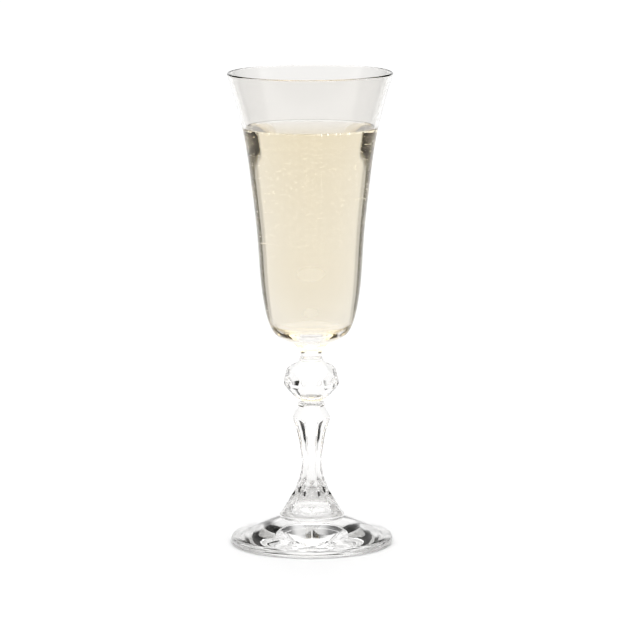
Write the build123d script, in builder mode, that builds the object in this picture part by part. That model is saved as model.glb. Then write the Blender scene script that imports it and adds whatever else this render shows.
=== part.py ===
"""Champagne flute: a tall blown bowl, a knopped eight-sided stem and a wide foot, with wine in it.

Millimetres, +Z up. The origin is the middle of the ring that the foot rests on.
Every glass piece is fused to its neighbour on a level plane, where both have the same circle.
"""

import os

from build123d import *

os.makedirs("parts", exist_ok=True)

# ---- Driving dimensions -------------------------------------------------------------------------

flute_height = 190.0
rim_radius = 33.0
rim_wall = 1.2
foot_radius = 32.5

# Levels of the fused seams, from the table up, and the radius of the circle at each.
foot_seam, foot_seam_radius = 10.5, 12.4
dome_seam, dome_seam_radius = 13.6, 11.45
shoulder_seam, shoulder_seam_radius = 55.8, 5.2
knop_seam, knop_seam_radius = 59.2, 5.8
neck_seam, neck_seam_radius = 74.6, 5.0
bowl_seam, bowl_seam_radius = 78.5, 4.6

# The stem and the knop are cut with rows of eight, so four cuts right through make a row.
flat_pitch = 45.0
flat_angles = [flat_pitch * turn for turn in range(4)]
stagger = flat_pitch / 2
cut_reach = 20.0

# Foot: a hollow underside inside a flat resting ring, a rounded edge and a sloping top.
hollow_rise = 1.2
ring_inner_radius = 29.0
ring_outer_radius = 31.0
edge_middle = 1.7
edge_top = 3.4
foot_slope_middle = (22.0, 6.6)

# Merese between the stem and the foot: one rounded ring.
merese_bulge = (12.95, 11.3)
merese_shoulder = (12.6, 12.2)

# Stem: the round dome that it stands on, its round shoulder, and the curves of its two rows of flats.
dome_curve = [(dome_seam_radius, dome_seam), (10.3, 14.9), (8.9, 16.2)]
dome_top = 16.6
shoulder_curve = [(shoulder_seam_radius, shoulder_seam), (6.3, 54.1), (7.65, 51.7), (8.5, 48.0)]
stem_blank_radius = 12.0
stem_blank_waist = 30.0
long_flat_curve = [
    (8.8, shoulder_seam), (7.8, 52.2), (6.7, 49.6), (5.4, 45.2), (4.5, 40.1),
    (3.9, 34.0), (4.4, 27.8), (6.0, 22.9), (7.6, 20.2), (10.0, 17.4), (14.5, dome_seam),
]
short_flat_curve = [(10.15, dome_seam), (9.5, 14.9), (8.0, 17.8), (6.75, 20.5), (6.5, 24.5)]
short_flat_relief = (11.0, 30.0)

# Lower collar: a hollow under the knop, then one bead above the stem's shoulder.
lower_waist = (5.05, 57.7)
bead_crest = (5.4, 56.8)

# Knop: a round blank, and the outlines of its facets. One row faces the same way as the stem's long
# flats, with a sharp girdle between its upper and lower facets. The staggered row makes the crown.
ball_curve = [
    (neck_seam_radius, neck_seam), (7.3, 73.1), (9.4, 71.7), (11.6, 66.4), (10.7, 63.2),
    (8.9, 61.5), (knop_seam_radius, knop_seam),
]
girdle_facets = [(9.2, neck_seam), (10.8, 65.6), (9.95, 63.6), (5.9, knop_seam)]
crown_facets = [(5.55, neck_seam), (12.3, 67.1), (12.3, 65.8), (6.15, knop_seam)]

# Upper collar: a waist between the knop and the bowl.
neck_waist = (4.25, 76.8)

# Bowl: its outside and its inside, each from the base to the rim.
rim_round_level = flute_height - rim_wall / 2
bowl_outside = [
    (bowl_seam_radius, bowl_seam), (6.2, 80.4), (10.2, 82.7), (14.4, 85.2), (16.6, 88.9),
    (18.6, 96.2), (20.0, 105.9), (21.4, 125.3), (23.5, 144.6), (26.2, 163.8), (29.6, 178.1),
    (rim_radius, rim_round_level),
]
bowl_inside = [
    (0.0, 86.5), (5.0, 86.6), (9.0, 87.4), (12.4, 89.8), (15.2, 94.0), (18.0, 103.0),
    (20.1, 125.3), (22.2, 144.6), (24.9, 163.8), (28.35, 178.1),
    (rim_radius - rim_wall, rim_round_level),
]

# Wine: its level, and the meniscus where it climbs the wall.
wine_level = 168.0
meniscus_start_radius = 24.4
meniscus_end = (26.6, 169.2)


def cut_plane(angle):
    """An upright plane in front of the glass, turned about its axis. A cut starts here."""
    return Plane.XZ.rotated((0, 0, angle)).offset(-cut_reach)


# ---- Foot ---------------------------------------------------------------------------------------

with BuildPart() as foot:
    with BuildSketch(Plane.XZ):
        with BuildLine():
            TangentArc((0, hollow_rise), (ring_inner_radius, 0), tangent=(1, 0))
            Line((ring_inner_radius, 0), (ring_outer_radius, 0))
            ThreePointArc((ring_outer_radius, 0), (foot_radius, edge_middle), (ring_outer_radius, edge_top))
            Spline(
                (ring_outer_radius, edge_top), foot_slope_middle, (foot_seam_radius, foot_seam),
                tangents=[(-1, 0.2), (-1, 0.5)],
            )
            Polyline((foot_seam_radius, foot_seam), (0, foot_seam), (0, hollow_rise))
        make_face()
    revolve(axis=Axis.Z)

foot.part.label = "foot"
export_step(foot.part, "parts/foot.step")

# ---- Merese between the foot and the stem -------------------------------------------------------

with BuildPart() as foot_collar:
    with BuildSketch(Plane.XZ):
        with BuildLine():
            ThreePointArc((foot_seam_radius, foot_seam), merese_bulge, merese_shoulder)
            Line(merese_shoulder, (dome_seam_radius, dome_seam))
            Polyline(
                (dome_seam_radius, dome_seam), (0, dome_seam), (0, foot_seam),
                (foot_seam_radius, foot_seam),
            )
        make_face()
    revolve(axis=Axis.Z)

foot_collar.part.label = "foot_collar"
export_step(foot_collar.part, "parts/foot_collar.step")

# ---- Stem: a round blank, cut with long flats and a staggered row of short ones -----------------

with BuildPart() as stem:
    with BuildSketch(Plane.XZ):
        with BuildLine():
            Spline(shoulder_curve, tangents=[(1, -0.6), (0.2, -1)])
            Polyline(
                shoulder_curve[-1], (stem_blank_radius, stem_blank_waist),
                (stem_blank_radius, dome_seam), (0, dome_seam), (0, shoulder_seam),
                shoulder_curve[0],
            )
        make_face()
    revolve(axis=Axis.Z)

    for angle in flat_angles:
        with BuildSketch(cut_plane(angle)):
            with BuildLine():
                Spline(long_flat_curve)
                Polyline(
                    long_flat_curve[-1], (0, dome_seam), (0, shoulder_seam), long_flat_curve[0],
                )
            make_face()
            mirror(about=Plane.YZ)
        extrude(amount=2 * cut_reach, mode=Mode.INTERSECT)

    for angle in flat_angles:
        with BuildSketch(cut_plane(angle + stagger)):
            with BuildLine():
                Spline(short_flat_curve)
                Polyline(
                    short_flat_curve[-1], short_flat_relief, (short_flat_relief[0], shoulder_seam),
                    (0, shoulder_seam), (0, dome_seam), short_flat_curve[0],
                )
            make_face()
            mirror(about=Plane.YZ)
        extrude(amount=2 * cut_reach, mode=Mode.INTERSECT)

    with BuildSketch(Plane.XZ):
        with BuildLine():
            Spline(dome_curve)
            Polyline(
                dome_curve[-1], (dome_curve[-1][0] - 1, dome_top), (0, dome_top),
                (0, dome_seam), dome_curve[0],
            )
        make_face()
    revolve(axis=Axis.Z)

stem.part.label = "stem"
export_step(stem.part, "parts/stem.step")

# ---- Lower collar: the ringed neck between the stem and the knop --------------------------------

with BuildPart() as lower_collar:
    with BuildSketch(Plane.XZ):
        with BuildLine():
            TangentArc(lower_waist, (knop_seam_radius, knop_seam), tangent=(0, 1))
            ThreePointArc(lower_waist, bead_crest, (shoulder_seam_radius, shoulder_seam))
            Polyline(
                (shoulder_seam_radius, shoulder_seam), (0, shoulder_seam), (0, knop_seam),
                (knop_seam_radius, knop_seam),
            )
        make_face()
    revolve(axis=Axis.Z)

lower_collar.part.label = "lower_collar"
export_step(lower_collar.part, "parts/lower_collar.step")

# ---- Knop: a round blank cut with two staggered rows of facets ----------------------------------

with BuildPart() as knop:
    with BuildSketch(Plane.XZ):
        with BuildLine():
            Spline(ball_curve)
            Polyline(ball_curve[-1], (0, knop_seam), (0, neck_seam), ball_curve[0])
        make_face()
    revolve(axis=Axis.Z)

    for facets, turn in [(girdle_facets, 0), (crown_facets, stagger)]:
        for angle in flat_angles:
            with BuildSketch(cut_plane(angle + turn)):
                with BuildLine():
                    Polyline(*facets, (0, knop_seam), (0, neck_seam), facets[0])
                make_face()
                mirror(about=Plane.YZ)
            extrude(amount=2 * cut_reach, mode=Mode.INTERSECT)

knop.part.label = "knop"
export_step(knop.part, "parts/knop.step")

# ---- Upper collar: the waisted neck between the knop and the bowl -------------------------------

with BuildPart() as upper_collar:
    with BuildSketch(Plane.XZ):
        with BuildLine():
            ThreePointArc((neck_seam_radius, neck_seam), neck_waist, (bowl_seam_radius, bowl_seam))
            Polyline(
                (bowl_seam_radius, bowl_seam), (0, bowl_seam), (0, neck_seam),
                (neck_seam_radius, neck_seam),
            )
        make_face()
    revolve(axis=Axis.Z)

upper_collar.part.label = "upper_collar"
export_step(upper_collar.part, "parts/upper_collar.step")

# ---- Bowl: a blown shell with a thick base and a fire-polished rim ------------------------------

with BuildPart() as bowl:
    with BuildSketch(Plane.XZ):
        with BuildLine():
            Spline(bowl_outside)
            ThreePointArc(
                bowl_outside[-1], (rim_radius - rim_wall / 2, flute_height), bowl_inside[-1],
            )
            Spline(bowl_inside)
            Polyline(bowl_inside[0], (0, bowl_seam), bowl_outside[0])
        make_face()
    revolve(axis=Axis.Z)

bowl.part.label = "bowl"
export_step(bowl.part, "parts/bowl.step")

# ---- Wine: what the bowl holds, up to its level and the meniscus --------------------------------

with BuildPart() as champagne:
    with BuildSketch(Plane.XZ):
        with BuildLine():
            Spline(bowl_inside)
            Polyline(bowl_inside[-1], (0, rim_round_level), bowl_inside[0])
        make_face()
    revolve(axis=Axis.Z)

    with BuildSketch(Plane.XZ):
        with BuildLine():
            Line((0, wine_level), (meniscus_start_radius, wine_level))
            TangentArc((meniscus_start_radius, wine_level), meniscus_end, tangent=(1, 0))
            Polyline(
                meniscus_end, (meniscus_end[0], bowl_seam), (0, bowl_seam), (0, wine_level),
            )
        make_face()
    revolve(axis=Axis.Z, mode=Mode.INTERSECT)

champagne.part.label = "champagne"
export_step(champagne.part, "parts/champagne.step")
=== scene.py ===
import math
import random

import bpy
import numpy as np
from mathutils import Matrix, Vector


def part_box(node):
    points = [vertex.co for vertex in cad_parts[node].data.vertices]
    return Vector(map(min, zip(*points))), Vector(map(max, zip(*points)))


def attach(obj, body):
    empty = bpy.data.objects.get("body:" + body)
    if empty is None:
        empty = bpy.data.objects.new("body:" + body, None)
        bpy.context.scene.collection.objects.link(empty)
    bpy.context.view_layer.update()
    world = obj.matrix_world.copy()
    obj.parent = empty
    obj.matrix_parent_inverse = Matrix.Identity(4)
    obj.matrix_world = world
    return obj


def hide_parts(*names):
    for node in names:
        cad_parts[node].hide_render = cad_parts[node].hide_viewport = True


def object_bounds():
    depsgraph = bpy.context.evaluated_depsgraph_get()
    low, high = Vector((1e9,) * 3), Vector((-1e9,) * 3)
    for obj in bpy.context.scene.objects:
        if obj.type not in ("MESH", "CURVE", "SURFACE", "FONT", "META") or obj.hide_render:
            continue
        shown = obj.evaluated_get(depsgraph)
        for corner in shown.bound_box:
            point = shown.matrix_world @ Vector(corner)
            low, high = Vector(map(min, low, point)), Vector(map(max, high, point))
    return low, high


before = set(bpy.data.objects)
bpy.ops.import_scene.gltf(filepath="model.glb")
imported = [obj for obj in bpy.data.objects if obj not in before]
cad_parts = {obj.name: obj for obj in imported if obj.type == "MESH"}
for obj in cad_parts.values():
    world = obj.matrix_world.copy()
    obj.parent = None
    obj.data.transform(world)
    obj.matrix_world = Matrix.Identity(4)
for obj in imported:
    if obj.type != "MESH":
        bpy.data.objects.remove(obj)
cad_low, cad_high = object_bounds()

# ---- Units --------------------------------------------------------------------------------------
# Outlines are (radius, height) points in the design's millimetres, and MM turns those into metres
# from the height that the CAD model really has.

DESIGN_HEIGHT = 190.0
MM = (cad_high.z - cad_low.z) / DESIGN_HEIGHT
BODY = "root"


def top_of(node):
    """The level of a CAD node's top, in design millimetres."""
    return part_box(node)[1].z / MM


def reach_of(node):
    """The largest radius of a CAD node, in design millimetres."""
    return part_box(node)[1].x / MM


# The fused seams, from the table up, and the radius of the circle that both pieces have there.
FOOT_SEAM, FOOT_SEAM_RADIUS = top_of("foot"), 12.4
DOME_SEAM, DOME_SEAM_RADIUS = top_of("foot_collar"), reach_of("stem")
SHOULDER_SEAM, SHOULDER_SEAM_RADIUS = top_of("stem"), 5.2
KNOP_SEAM, KNOP_SEAM_RADIUS = top_of("lower_collar"), reach_of("lower_collar")
NECK_SEAM, NECK_SEAM_RADIUS = top_of("knop"), reach_of("upper_collar")
BOWL_SEAM, BOWL_SEAM_RADIUS = top_of("upper_collar"), 4.6
FOOT_RADIUS = reach_of("foot")
RIM_RADIUS = reach_of("bowl")
RIM_WALL = 1.2
RIM_LEVEL = DESIGN_HEIGHT - RIM_WALL / 2

# ---- Mesh tools ---------------------------------------------------------------------------------

SEGMENTS = 256
FLATS = 8
FLAT_PITCH = 2 * math.pi / FLATS
ANGLES = np.arange(SEGMENTS) * 2 * math.pi / SEGMENTS


def smooth_curve(points, step=0.4):
    """Points about step apart on the curve through the given ones, with no break in its curvature."""
    p = np.array(points, float)
    t = np.concatenate([[0], np.cumsum(np.hypot(*np.diff(p, axis=0).T))])
    h = np.diff(t)
    n = len(p)
    system, known = np.eye(n), np.zeros((n, 2))
    for i in range(1, n - 1):
        system[i, i - 1:i + 2] = h[i - 1], 2 * (h[i - 1] + h[i]), h[i]
        known[i] = 6 * ((p[i + 1] - p[i]) / h[i] - (p[i] - p[i - 1]) / h[i - 1])
    bend = np.linalg.solve(system, known)
    s = np.linspace(0, t[-1], max(int(t[-1] / step), 2) + 1)
    i = np.clip(np.searchsorted(t, s, side="right") - 1, 0, n - 2)
    a, b, w = (t[i + 1] - s)[:, None], (s - t[i])[:, None], h[i][:, None]
    return (
        bend[i] * a**3 / (6 * w) + bend[i + 1] * b**3 / (6 * w)
        + (p[i] / w - bend[i] * w / 6) * a + (p[i + 1] / w - bend[i + 1] * w / 6) * b
    )


def arc(start, through, end, count=24):
    """Points on the arc through three points."""
    (ax, ay), (bx, by), (cx, cy) = start, through, end
    d = 2 * (ax * (by - cy) + bx * (cy - ay) + cx * (ay - by))
    a2, b2, c2 = ax * ax + ay * ay, bx * bx + by * by, cx * cx + cy * cy
    x = (a2 * (by - cy) + b2 * (cy - ay) + c2 * (ay - by)) / d
    y = (a2 * (cx - bx) + b2 * (ax - cx) + c2 * (bx - ax)) / d
    first = math.atan2(ay - y, ax - x)
    turn_b = (math.atan2(by - y, bx - x) - first) % (2 * math.pi)
    turn_c = (math.atan2(cy - y, cx - x) - first) % (2 * math.pi)
    if turn_b > turn_c:
        turn_c -= 2 * math.pi
    turns = first + np.linspace(0, turn_c, count + 1)
    radius = math.hypot(ax - x, ay - y)
    return np.column_stack([x + radius * np.cos(turns), y + radius * np.sin(turns)])


def straight(start, end, step=0.5):
    """Points along a straight line."""
    count = max(int(math.dist(start, end) / step), 1)
    return np.linspace(start, end, count + 1)


def joined(*runs):
    """One outline from runs that each start where the last one ended."""
    return np.concatenate([runs[0]] + [run[1:] for run in runs[1:]])


def radius_at(curve, levels):
    """The radius of a curve at each level."""
    order = np.argsort(curve[:, 1])
    return np.interp(levels, curve[order, 1], curve[order, 0])


def soft_min(a, b, blend):
    """The smaller of two, with the crossing rounded over that blend."""
    h = np.maximum(blend - np.abs(a - b), 0) / blend
    return np.minimum(a, b) - h * h * blend / 4


def flat_radius(apothem, turned, blend, hollow=0.0):
    """The radius round a ring of flats, each as far from the axis as apothem says, with soft arrises.

    hollow is how much the arrises stand up from flat, as a share of the apothem, as on ground flutes.
    """
    off = np.abs((ANGLES - turned + FLAT_PITCH / 2) % FLAT_PITCH - FLAT_PITCH / 2)

    def flute(angle):
        return apothem[:, None] * (1 / np.cos(angle) + hollow * (2 * angle / FLAT_PITCH) ** 2)[None, :]

    return soft_min(flute(off), flute(FLAT_PITCH - off), blend)


def ring_mesh(name, radii, levels, materials, material_of_row=None):
    """A closed piece from rings of radii at levels, with both ends closed at the axis.

    radii has a row for each ring, and one column, or one for each segment. material_of_row gives the
    material slot of the band of faces after each ring, and of the first end as row -1.
    """
    radii = np.broadcast_to(radii, (len(levels), SEGMENTS)) * MM
    levels = np.asarray(levels) * MM
    x, y = radii * np.cos(ANGLES), radii * np.sin(ANGLES)
    rows = len(levels)
    points = np.stack([x, y, np.broadcast_to(levels[:, None], x.shape)], axis=2).reshape(-1, 3)
    ends = [(0, 0, levels[0]), (0, 0, levels[-1])]
    first, last = len(points), len(points) + 1
    faces, slots = [], []
    for row in range(rows - 1):
        slot = material_of_row(row) if material_of_row else 0
        for i in range(SEGMENTS):
            j = (i + 1) % SEGMENTS
            a, b = row * SEGMENTS, (row + 1) * SEGMENTS
            faces.append((a + i, a + j, b + j, b + i))
            slots.append(slot)
    for i in range(SEGMENTS):
        j = (i + 1) % SEGMENTS
        faces.append((first, j, i))
        slots.append(material_of_row(-1) if material_of_row else 0)
    base = (rows - 1) * SEGMENTS
    for i in range(SEGMENTS):
        j = (i + 1) % SEGMENTS
        faces.append((last, base + i, base + j))
        slots.append(material_of_row(rows - 1) if material_of_row else 0)
    mesh = bpy.data.meshes.new(name)
    mesh.from_pydata([tuple(p) for p in points] + ends, [], faces)
    for material in materials:
        mesh.materials.append(material)
    mesh.polygons.foreach_set("material_index", slots)
    mesh.polygons.foreach_set("use_smooth", [True] * len(faces))
    mesh.update()
    piece = bpy.data.objects.new(name, mesh)
    bpy.context.scene.collection.objects.link(piece)
    return piece


def capped(name, radii, levels, node, low_seam=True):
    """A piece of the stem: its side in glass, and its level ends in the fused seam's material."""
    top_row = len(levels) - 1

    def material_of_row(row):
        return 1 if row == top_row or (row == -1 and low_seam) else 0

    piece = ring_mesh(name, radii, levels, [pressed_glass, seam], material_of_row)
    place(piece, node)


def place(piece, node):
    """Puts a piece in a CAD node's place, on the one body that this part has."""
    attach(piece, BODY)
    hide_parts(node)


# ---- Materials ----------------------------------------------------------------------------------

GLASS_IOR = 1.52
WINE_IOR = 1.34
WINE_COLOUR = (0.80, 0.67, 0.35, 1)
WINE_DENSITY = 16.0
BUBBLE_IOR = 1.05
# The bubbles' painted glint: a glow colour and strength that stand in for light glinting on them.
PAINTED_GLINT_COLOUR = (1.0, 0.93, 0.76, 1)
PAINTED_GLINT_STRENGTH = 0.55
FLOOR_SHADES = ((0.85, 0.85, 0.85, 1), (0.862, 0.862, 0.862, 1))


def new_material(name):
    """A material with an empty node tree and its output node."""
    material = bpy.data.materials.new(name)
    material.use_nodes = True
    tree = material.node_tree
    tree.nodes.clear()
    return material, tree, tree.nodes.new("ShaderNodeOutputMaterial")


def waviness(tree, scale, stretch, strength, distance):
    """A bump from slow noise in the object's own space: what blowing or pressing leaves on glass."""
    coordinates = tree.nodes.new("ShaderNodeTexCoord")
    mapping = tree.nodes.new("ShaderNodeMapping")
    mapping.inputs["Scale"].default_value = stretch
    noise = tree.nodes.new("ShaderNodeTexNoise")
    noise.inputs["Scale"].default_value = scale
    noise.inputs["Detail"].default_value = 2.0
    bump = tree.nodes.new("ShaderNodeBump")
    bump.inputs["Strength"].default_value = strength
    bump.inputs["Distance"].default_value = distance
    tree.links.new(coordinates.outputs["Object"], mapping.inputs["Vector"])
    tree.links.new(mapping.outputs["Vector"], noise.inputs["Vector"])
    tree.links.new(noise.outputs["Fac"], bump.inputs["Height"])
    return bump.outputs["Normal"]


def clear_glass(name, tint, specular, scale, stretch, strength, distance):
    """Clear glass with a faint tint and the slight waviness of its making."""
    material, tree, output = new_material(name)
    shader = tree.nodes.new("ShaderNodeBsdfPrincipled")
    shader.inputs["Base Color"].default_value = (*tint, 1)
    shader.inputs["Transmission Weight"].default_value = 1.0
    shader.inputs["Roughness"].default_value = 0.0
    shader.inputs["IOR"].default_value = GLASS_IOR
    shader.inputs["Specular Tint"].default_value = (*[specular] * 3, 1)
    normal = waviness(tree, scale, stretch, strength, distance)
    tree.links.new(normal, shader.inputs["Normal"])
    tree.links.new(shader.outputs["BSDF"], output.inputs["Surface"])
    return material


def fused_seam():
    """Where two pieces are fused there is no surface to see, so the light goes straight through."""
    material, tree, output = new_material("fused_seam")
    shader = tree.nodes.new("ShaderNodeBsdfTransparent")
    tree.links.new(shader.outputs["BSDF"], output.inputs["Surface"])
    return material


def sparkling_wine():
    """Pale gold wine: clear at its surface, and coloured by how much of it the light goes through."""
    material, tree, output = new_material("wine")
    shader = tree.nodes.new("ShaderNodeBsdfPrincipled")
    shader.inputs["Base Color"].default_value = (1, 1, 1, 1)
    shader.inputs["Transmission Weight"].default_value = 1.0
    shader.inputs["Roughness"].default_value = 0.0
    shader.inputs["IOR"].default_value = WINE_IOR
    shader.inputs["Specular Tint"].default_value = (0.2, 0.2, 0.2, 1)
    normal = waviness(tree, 60.0, (1, 1, 1), 0.02, 0.0002)
    tree.links.new(normal, shader.inputs["Normal"])
    absorption = tree.nodes.new("ShaderNodeVolumeAbsorption")
    absorption.inputs["Color"].default_value = WINE_COLOUR
    absorption.inputs["Density"].default_value = WINE_DENSITY
    tree.links.new(shader.outputs["BSDF"], output.inputs["Surface"])
    tree.links.new(absorption.outputs["Volume"], output.inputs["Volume"])
    return material


def bubble_gas():
    """A fine bubble: half see-through, half pale, and with a faint even glow that is a painted glint,
    standing in for the light that glints on it.
    """
    material, tree, output = new_material("bubble_gas")
    shader = tree.nodes.new("ShaderNodeBsdfPrincipled")
    shader.inputs["Base Color"].default_value = (1, 1, 1, 1)
    shader.inputs["Transmission Weight"].default_value = 0.5
    shader.inputs["Roughness"].default_value = 0.1
    shader.inputs["IOR"].default_value = BUBBLE_IOR
    # Painted glint: an emission glow on the bubbles, though they are no lamp.
    shader.inputs["Emission Color"].default_value = PAINTED_GLINT_COLOUR
    shader.inputs["Emission Strength"].default_value = PAINTED_GLINT_STRENGTH
    tree.links.new(shader.outputs["BSDF"], output.inputs["Surface"])
    return material


def pale_floor():
    """A plain pale floor with a trace of mottling."""
    material, tree, output = new_material("pale_floor")
    shader = tree.nodes.new("ShaderNodeBsdfPrincipled")
    shader.inputs["Roughness"].default_value = 0.6
    shader.inputs["Specular IOR Level"].default_value = 0.2
    noise = tree.nodes.new("ShaderNodeTexNoise")
    noise.inputs["Scale"].default_value = 8.0
    ramp = tree.nodes.new("ShaderNodeValToRGB")
    for element, shade in zip(ramp.color_ramp.elements, FLOOR_SHADES):
        element.color = shade
    tree.links.new(noise.outputs["Fac"], ramp.inputs["Fac"])
    tree.links.new(ramp.outputs["Color"], shader.inputs["Base Color"])
    tree.links.new(shader.outputs["BSDF"], output.inputs["Surface"])
    return material


blown_glass = clear_glass("blown_glass", (0.901, 0.889, 0.869), 1.0, 30.0, (1, 1, 0.35), 0.05, 0.0004)
wetted_glass = clear_glass("wetted_glass", (1, 1, 1), 0.05, 30.0, (1, 1, 0.35), 0.05, 0.0004)
pressed_glass = clear_glass("pressed_glass", (0.985, 0.98, 0.97), 1.0, 160.0, (1, 1, 1), 0.08, 0.0003)
seam = fused_seam()
wine = sparkling_wine()

# ---- Camera, at the photograph's viewing angle --------------------------------------------------

CAMERA_DISTANCE = 1.5814
CAMERA_HEIGHT = 0.3431
CAMERA_SIDE = -0.0004
CAMERA_PITCH = math.radians(-8.93)
CAMERA_ROLL = math.radians(-0.24)
CAMERA_LENS = 232.4


def add_camera():
    data = bpy.data.cameras.new("camera")
    data.lens = CAMERA_LENS
    data.sensor_width = 36.0
    data.clip_start = 0.01
    data.clip_end = 50.0
    camera = bpy.data.objects.new("camera", data)
    bpy.context.scene.collection.objects.link(camera)
    looks_along_y = Matrix.Rotation(math.pi / 2 + CAMERA_PITCH, 4, "X")
    rolled = Matrix.Rotation(CAMERA_ROLL, 4, "Z")
    camera.matrix_world = (
        Matrix.Translation((CAMERA_SIDE, -CAMERA_DISTANCE, CAMERA_HEIGHT)) @ looks_along_y @ rolled
    )
    bpy.context.scene.camera = camera


add_camera()

# ---- Floor and studio light ---------------------------------------------------------------------

FLOOR_RADIUS = 1.1
FLOOR_DROP = 0.00002


def add_floor():
    count = 96
    rim = [
        (FLOOR_RADIUS * math.cos(i * 2 * math.pi / count), FLOOR_RADIUS * math.sin(i * 2 * math.pi / count),
         cad_low.z - FLOOR_DROP)
        for i in range(count)
    ]
    mesh = bpy.data.meshes.new("floor")
    mesh.from_pydata(rim, [], [tuple(range(count))])
    mesh.materials.append(pale_floor())
    floor = bpy.data.objects.new("floor", mesh)
    bpy.context.scene.collection.objects.link(floor)


def both_sides(left, right):
    """Stops all the way round the studio, from (share, brightness) stops for its left and right halves."""
    turned = [(0.5 - share / 2, grey) for share, grey in reversed(left)]
    return turned + [(0.5 + share / 2, grey) for share, grey in right[1:]]


def studio_world():
    """A white studio in level bands: what each level of it shows, all the way round, and a bright ceiling.

    The dark gaps between its white screens are what draws the dark edges on clear glass.
    """
    world = bpy.data.worlds.new("studio")
    world.use_nodes = True
    tree = world.node_tree
    tree.nodes.clear()
    link = tree.links.new

    def maths(operation, *values):
        node = tree.nodes.new("ShaderNodeMath")
        node.operation = operation
        for socket, value in zip(node.inputs, values):
            if isinstance(value, (int, float)):
                socket.default_value = value
            else:
                link(value, socket)
        return node.outputs[0]

    def ramp(value, stops):
        """A smooth grey ramp over (position, brightness) stops, all from 0 to 1."""
        node = tree.nodes.new("ShaderNodeValToRGB")
        node.color_ramp.interpolation = "EASE"
        elements = node.color_ramp.elements
        while len(elements) > 1:
            elements.remove(elements[-1])
        elements[0].position = stops[0][0]
        elements[0].color = (*[stops[0][1]] * 3, 1)
        for position, grey in stops[1:]:
            elements.new(position).color = (*[grey] * 3, 1)
        link(value, node.inputs["Fac"])
        return node.outputs["Color"]

    def blended(factor, first, second):
        node = tree.nodes.new("ShaderNodeMix")
        node.data_type = "RGBA"
        for name, value in (("Factor", factor), ("A", first), ("B", second)):
            if isinstance(value, tuple):
                node.inputs[name].default_value = value
            else:
                link(value, node.inputs[name])
        return node.outputs["Result"]

    direction = tree.nodes.new("ShaderNodeTexCoord")
    split = tree.nodes.new("ShaderNodeSeparateXYZ")
    link(direction.outputs["Generated"], split.inputs["Vector"])
    turn = maths("ARCTAN2", split.outputs["X"], split.outputs["Y"])
    share = maths("MULTIPLY_ADD", turn, 0.5 / math.pi, 0.5)
    level = maths("MULTIPLY_ADD", maths("ARCSINE", split.outputs["Z"]), 1 / math.pi, 0.5)
    studio = ramp(share, LEVEL_BAND)
    for (starts, full), band in HIGHER_BANDS:
        studio = blended(ramp(level, [(at(starts), 0.0), (at(full), 1.0)]), studio, ramp(share, band))
    starts, full = CEILING_STARTS
    studio = blended(ramp(level, [(at(starts), 0.0), (at(full), 1.0)]), studio, (*[CEILING] * 3, 1))
    lit = tree.nodes.new("ShaderNodeBackground")
    link(studio, lit.inputs["Color"])
    backdrop = tree.nodes.new("ShaderNodeBackground")
    backdrop.inputs["Color"].default_value = (1, 1, 1, 1)
    backdrop.inputs["Strength"].default_value = BACKDROP
    seen = tree.nodes.new("ShaderNodeLightPath")
    choose = tree.nodes.new("ShaderNodeMixShader")
    link(seen.outputs["Is Camera Ray"], choose.inputs["Fac"])
    link(lit.outputs["Background"], choose.inputs[1])
    link(backdrop.outputs["Background"], choose.inputs[2])
    output = tree.nodes.new("ShaderNodeOutputWorld")
    link(choose.outputs["Shader"], output.inputs["Surface"])
    bpy.context.scene.world = world


def at(elevation):
    """Where an elevation in degrees is on a scale from straight down (0) to straight up (1)."""
    return elevation / 180 + 0.5


# Brightness round the studio, from straight behind the glass (0) to behind the camera (1), on its two
# sides. The screen behind the glass is as bright as the floor, so that no line shows through the wine.
BACKDROP = 1.05
SCREEN = 1.055
LEVEL_SIDE = [
    (0.0, SCREEN), (0.19, SCREEN), (0.21, 0.66), (0.235, 0.66), (0.25, 0.03), (0.36, 0.05), (0.40, 0.6),
    (0.55, 0.6), (0.62, 0.9), (1.0, 0.9),
]
LEVEL_BAND = both_sides(LEVEL_SIDE, LEVEL_SIDE)
EDGE_SIDE = [(0.0, SCREEN), (0.156, SCREEN), (0.172, 0.03), (0.5, 0.03), (0.58, 0.9), (1.0, 0.9)]
EDGE_BAND = both_sides(EDGE_SIDE, EDGE_SIDE)
LOW_BAND = both_sides(
    [(0.0, SCREEN), (0.16, SCREEN), (0.21, 0.02), (0.50, 0.03), (0.58, 0.9), (1.0, 0.9)],
    [(0.0, SCREEN), (0.13, SCREEN), (0.17, 0.02), (0.50, 0.03), (0.58, 0.9), (1.0, 0.9)],
)
HIGH_BAND = both_sides(
    [(0.0, 0.6), (0.05, 0.6), (0.12, 0.1), (0.5, 0.1), (0.6, 0.4), (1.0, 0.4)],
    [(0.0, 0.6), (0.08, 0.7), (0.15, 0.12), (0.5, 0.12), (0.6, 0.5), (1.0, 0.4)],
)
# Each higher band, with the elevations in degrees where it starts and where it has taken over.
HIGHER_BANDS = [((0.6, 2.0), EDGE_BAND), ((6, 9), LOW_BAND), ((20, 26), HIGH_BAND)]
CEILING_STARTS = (40, 50)
CEILING = 2.2

add_floor()
studio_world()

# ---- Foot ---------------------------------------------------------------------------------------

HOLLOW_RISE = 1.2
RING_INNER_RADIUS = 29.0
RING_OUTER_RADIUS = 31.0
EDGE_MIDDLE = 1.7
EDGE_TOP = 3.4
FOOT_SLOPE = [(RING_OUTER_RADIUS, EDGE_TOP), (26.5, 4.75), (22.0, 6.6), (17.0, 8.75)]


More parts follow.
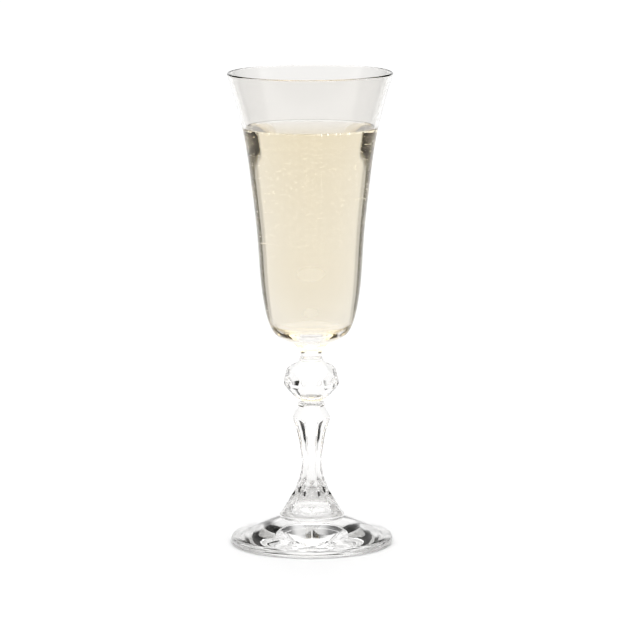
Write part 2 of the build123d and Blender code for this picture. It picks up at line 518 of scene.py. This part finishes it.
def add_foot():
    hollow_middle = (RING_INNER_RADIUS / 2, HOLLOW_RISE * 0.7515)
    outline = joined(
        arc((0.01, HOLLOW_RISE), hollow_middle, (RING_INNER_RADIUS, 0), 60),
        straight((RING_INNER_RADIUS, 0), (RING_OUTER_RADIUS, 0)),
        arc((RING_OUTER_RADIUS, 0), (FOOT_RADIUS, EDGE_MIDDLE), (RING_OUTER_RADIUS, EDGE_TOP), 32),
        smooth_curve(FOOT_SLOPE + [(FOOT_SEAM_RADIUS, FOOT_SEAM)], 0.3),
    )
    capped("foot_glass", outline[:, :1], outline[:, 1], "foot", low_seam=False)


add_foot()

# ---- Merese -------------------------------------------------------------------------------------

MERESE_SHOULDER = (12.6, 12.2)


def add_foot_collar():
    outline = joined(
        arc((FOOT_SEAM_RADIUS, FOOT_SEAM), (reach_of("foot_collar"), 11.3), MERESE_SHOULDER),
        straight(MERESE_SHOULDER, (DOME_SEAM_RADIUS, DOME_SEAM), 0.2),
    )
    capped("foot_collar_glass", outline[:, :1], outline[:, 1], "foot_collar")


add_foot_collar()

# ---- Stem ---------------------------------------------------------------------------------------

ARRIS = 0.15
STEM_HOLLOW = 0.05
DOME = [(DOME_SEAM_RADIUS, DOME_SEAM), (10.3, 14.9), (8.9, 16.2), (7.0, 17.2)]
SHOULDER = [(SHOULDER_SEAM_RADIUS, SHOULDER_SEAM), (6.3, 54.1), (7.65, 51.7), (8.5, 48.0), (12.0, 30.0)]
LONG_FLATS = [
    (8.8, SHOULDER_SEAM), (7.8, 52.2), (6.7, 49.6), (5.4, 45.2), (4.5, 40.1),
    (3.9, 34.0), (4.4, 27.8), (6.0, 22.9), (7.6, 20.2), (10.0, 17.4), (14.5, DOME_SEAM),
]
SHORT_FLATS = [(10.15, DOME_SEAM), (9.5, 14.9), (8.0, 17.8), (6.75, 20.5), (6.5, 24.5)]
SHORT_FLATS_RELIEF = (11.0, 30.0)


def add_stem():
    levels = np.concatenate([
        np.arange(DOME_SEAM, 25.0, 0.1), np.arange(25.0, 49.0, 0.3), np.arange(49.0, SHOULDER_SEAM, 0.1),
        [SHOULDER_SEAM],
    ])
    shoulder = radius_at(smooth_curve(SHOULDER, 0.1), levels)
    long_flats = radius_at(smooth_curve(LONG_FLATS, 0.1), levels)
    short_curve = joined(
        smooth_curve(SHORT_FLATS, 0.1), straight(SHORT_FLATS[-1], SHORT_FLATS_RELIEF),
        straight(SHORT_FLATS_RELIEF, (SHORT_FLATS_RELIEF[0] + 10, SHOULDER_SEAM)),
    )
    short_flats = radius_at(short_curve, levels)
    column = soft_min(
        flat_radius(long_flats, 0.0, ARRIS, STEM_HOLLOW),
        flat_radius(short_flats, FLAT_PITCH / 2, ARRIS, STEM_HOLLOW), ARRIS,
    )
    column = soft_min(column, shoulder[:, None] * np.ones(SEGMENTS), ARRIS / 2)
    dome = np.where(levels < DOME[-1][1], radius_at(smooth_curve(DOME, 0.1), levels), 0.0)
    radii = -soft_min(-column, -dome[:, None] * np.ones(SEGMENTS), ARRIS / 2)
    radii[0] = DOME_SEAM_RADIUS
    radii[-1] = SHOULDER_SEAM_RADIUS
    capped("stem_glass", radii, levels, "stem")


add_stem()

# ---- Lower collar -------------------------------------------------------------------------------

LOWER_WAIST = (5.05, 57.7)
BEAD_CREST = (5.4, 56.8)


def add_lower_collar():
    outline = joined(
        arc((SHOULDER_SEAM_RADIUS, SHOULDER_SEAM), BEAD_CREST, LOWER_WAIST),
        arc(LOWER_WAIST, (5.3, 58.6), (KNOP_SEAM_RADIUS, KNOP_SEAM)),
    )
    capped("lower_collar_glass", outline[:, :1], outline[:, 1], "lower_collar")


add_lower_collar()

# ---- Knop ---------------------------------------------------------------------------------------

BALL = [
    (NECK_SEAM_RADIUS, NECK_SEAM), (7.3, 73.1), (9.4, 71.7), (11.6, 66.4), (10.7, 63.2), (8.9, 61.5),
    (KNOP_SEAM_RADIUS, KNOP_SEAM),
]
GIRDLE_FACETS = [(9.2, NECK_SEAM), (10.8, 65.6), (9.95, 63.6), (5.9, KNOP_SEAM)]
CROWN_FACETS = [(5.55, NECK_SEAM), (12.3, 67.1), (12.3, 65.8), (6.15, KNOP_SEAM)]
KNOP_ARRIS = 0.12
KNOP_HOLLOW = 0.03


def add_knop():
    levels = np.linspace(KNOP_SEAM, NECK_SEAM, 200)
    ball = radius_at(smooth_curve(BALL, 0.05), levels)
    girdle = flat_radius(radius_at(np.array(GIRDLE_FACETS), levels), 0.0, KNOP_ARRIS, KNOP_HOLLOW)
    crown = flat_radius(radius_at(np.array(CROWN_FACETS), levels), FLAT_PITCH / 2, KNOP_ARRIS, KNOP_HOLLOW)
    radii = soft_min(soft_min(girdle, crown, KNOP_ARRIS), ball[:, None] * np.ones(SEGMENTS), KNOP_ARRIS)
    radii[0] = KNOP_SEAM_RADIUS
    radii[-1] = NECK_SEAM_RADIUS
    capped("knop_glass", radii, levels, "knop")


add_knop()

# ---- Upper collar -------------------------------------------------------------------------------

NECK_WAIST = (4.25, 76.8)


def add_upper_collar():
    outline = arc((NECK_SEAM_RADIUS, NECK_SEAM), NECK_WAIST, (BOWL_SEAM_RADIUS, BOWL_SEAM), 40)
    capped("upper_collar_glass", outline[:, :1], outline[:, 1], "upper_collar")


add_upper_collar()

# ---- Bowl ---------------------------------------------------------------------------------------

BOWL_OUTSIDE = [
    (BOWL_SEAM_RADIUS, BOWL_SEAM), (6.2, 80.4), (10.2, 82.7), (14.4, 85.2), (16.6, 88.9), (18.6, 96.2),
    (20.0, 105.9), (21.4, 125.3), (23.5, 144.6), (26.2, 163.8), (29.6, 178.1), (RIM_RADIUS, RIM_LEVEL),
]
BOWL_INSIDE = [
    (0.0, 86.5), (5.0, 86.6), (9.0, 87.4), (12.4, 89.8), (15.2, 94.0), (18.0, 103.0), (20.1, 125.3),
    (22.2, 144.6), (24.9, 163.8), (28.35, 178.1), (RIM_RADIUS - RIM_WALL, RIM_LEVEL),
]
WINE_TOP = top_of("champagne")


def add_bowl():
    outside = smooth_curve(BOWL_OUTSIDE)
    rim = arc(BOWL_OUTSIDE[-1], (RIM_RADIUS - RIM_WALL / 2, DESIGN_HEIGHT), BOWL_INSIDE[-1], 20)
    inside = smooth_curve(BOWL_INSIDE)[::-1]
    outline = joined(outside, rim, inside)
    outline[-1, 0] = 0.01
    wet_from = len(outside) + len(rim)

    def material_of_row(row):
        if row == -1:
            return 1
        return 2 if row > wet_from and outline[row, 1] < WINE_TOP else 0

    piece = ring_mesh(
        "bowl_glass", outline[:, :1], outline[:, 1], [blown_glass, seam, wetted_glass], material_of_row
    )
    place(piece, "bowl")


add_bowl()

# ---- Champagne ----------------------------------------------------------------------------------

WINE_LEVEL = 168.0
MENISCUS_START = 24.4
WETTING = 0.06


def add_champagne():
    """The wine reaches a hair into the bowl's wall, so that no air is left between them."""
    wall = smooth_curve(BOWL_INSIDE)
    along = np.gradient(wall, axis=0)
    along /= np.hypot(*along.T)[:, None]
    wall = wall + WETTING * np.column_stack([along[:, 1], -along[:, 0]])
    wall[0, 0] = 0.01
    wall = wall[wall[:, 1] < WINE_TOP]
    edge = (radius_at(wall, WINE_TOP), WINE_TOP)
    rise = arc(edge, (edge[0] - 0.55, WINE_TOP - 0.185), (MENISCUS_START, WINE_LEVEL), 20)
    surface = straight((MENISCUS_START, WINE_LEVEL), (0.01, WINE_LEVEL), 0.8)
    outline = joined(np.vstack([wall, edge]), rise, surface)
    piece = ring_mesh("champagne_wine", outline[:, :1], outline[:, 1], [wine])
    place(piece, "champagne")


add_champagne()

# ---- Bubbles: fine streams, strays, a sparkle along the wall, and beads round the edge -----------

BUBBLE_SIDES = 8
BUBBLE_RINGS = 5
LOWEST_BUBBLE = 92
STREAMS = 9
STRAYS = 700
WALL_BUBBLES = 1900
EDGE_BEADS = 90
SURFACE_BEADS = 40


def bubble_places():
    """The middle and radius of each bubble, in design millimetres."""
    chance = random.Random(20)
    wall = smooth_curve(BOWL_INSIDE)
    places = []

    def inside_radius(level):
        return float(radius_at(wall, level))

    def put(distance, angle, level, size):
        """A bubble of that size, kept clear of the wall and under the surface."""
        distance = min(distance, inside_radius(level) - 1.4 * size - 0.1)
        level = min(level, WINE_LEVEL - 1.2 * size)
        places.append((distance * math.cos(angle), distance * math.sin(angle), level, size))

    for stream in range(STREAMS):
        distance, angle = chance.uniform(1, 13), chance.uniform(0, 2 * math.pi)
        level, size = chance.uniform(LOWEST_BUBBLE, LOWEST_BUBBLE + 20), 0.07
        while level < WINE_LEVEL - 1:
            put(distance + chance.gauss(0, 0.15), angle + chance.gauss(0, 0.01), level, size)
            size = 0.07 + 0.06 * (level - LOWEST_BUBBLE) / 75
            level += chance.uniform(1.6, 2.8) * (0.7 + size * 4)
    for stray in range(STRAYS):
        level = LOWEST_BUBBLE + 74 * chance.random() ** 0.8
        distance = inside_radius(level) * math.sqrt(chance.random()) * 0.94
        put(distance, chance.uniform(0, 2 * math.pi), level, chance.uniform(0.05, 0.12))
    for stray in range(WALL_BUBBLES):
        level = WINE_LEVEL - 0.4 - 56 * chance.random() ** 1.2
        distance = inside_radius(level) - chance.uniform(0.2, 0.9)
        put(distance, chance.uniform(0, 2 * math.pi), level, chance.uniform(0.05, 0.12))
    for bead in range(EDGE_BEADS):
        distance = MENISCUS_START + chance.uniform(-0.6, 0.5)
        put(distance, chance.uniform(0, 2 * math.pi), WINE_LEVEL, chance.uniform(0.1, 0.26))
    for bead in range(SURFACE_BEADS):
        distance = 23 * math.sqrt(chance.random())
        put(distance, chance.uniform(0, 2 * math.pi), WINE_LEVEL, chance.uniform(0.1, 0.2))
    return places


def add_bubbles():
    """All the bubbles as one piece, each a small round mesh."""
    points, faces = [], []
    for x, y, z, size in bubble_places():
        first = len(points)
        points.append((x, y, z - size))
        for ring in range(1, BUBBLE_RINGS):
            tilt = math.pi * ring / BUBBLE_RINGS
            for side in range(BUBBLE_SIDES):
                turn = 2 * math.pi * side / BUBBLE_SIDES
                points.append((
                    x + size * math.sin(tilt) * math.cos(turn), y + size * math.sin(tilt) * math.sin(turn),
                    z - size * math.cos(tilt),
                ))
        points.append((x, y, z + size))
        last = len(points) - 1
        for side in range(BUBBLE_SIDES):
            after = (side + 1) % BUBBLE_SIDES
            faces.append((first, first + 1 + after, first + 1 + side))
            for ring in range(BUBBLE_RINGS - 2):
                low_ring = first + 1 + ring * BUBBLE_SIDES
                high_ring = low_ring + BUBBLE_SIDES
                faces.append((low_ring + side, low_ring + after, high_ring + after, high_ring + side))
            top_ring = first + 1 + (BUBBLE_RINGS - 2) * BUBBLE_SIDES
            faces.append((last, top_ring + side, top_ring + after))
    mesh = bpy.data.meshes.new("champagne_bubbles")
    mesh.from_pydata([(x * MM, y * MM, z * MM) for x, y, z in points], [], faces)
    mesh.materials.append(bubble_gas())
    mesh.polygons.foreach_set("use_smooth", [True] * len(faces))
    mesh.update()
    bubbles = bpy.data.objects.new("champagne_bubbles", mesh)
    bpy.context.scene.collection.objects.link(bubbles)
    place(bubbles, "champagne")


add_bubbles()

# ---- Finish -------------------------------------------------------------------------------------

# The camera's contrast, on linear light.
TONE_CURVE = [(0.12, 0.04), (0.4, 0.36), (0.8, 0.8)]

scene = bpy.context.scene
scene.view_settings.view_transform = "Standard"
scene.view_settings.use_curve_mapping = True
tone = scene.view_settings.curve_mapping
for position, value in TONE_CURVE:
    tone.curves[3].points.new(position, value)
tone.update()
scene.cycles.max_bounces = 40
scene.cycles.glossy_bounces = 32
scene.cycles.transmission_bounces = 32
scene.cycles.transparent_max_bounces = 48
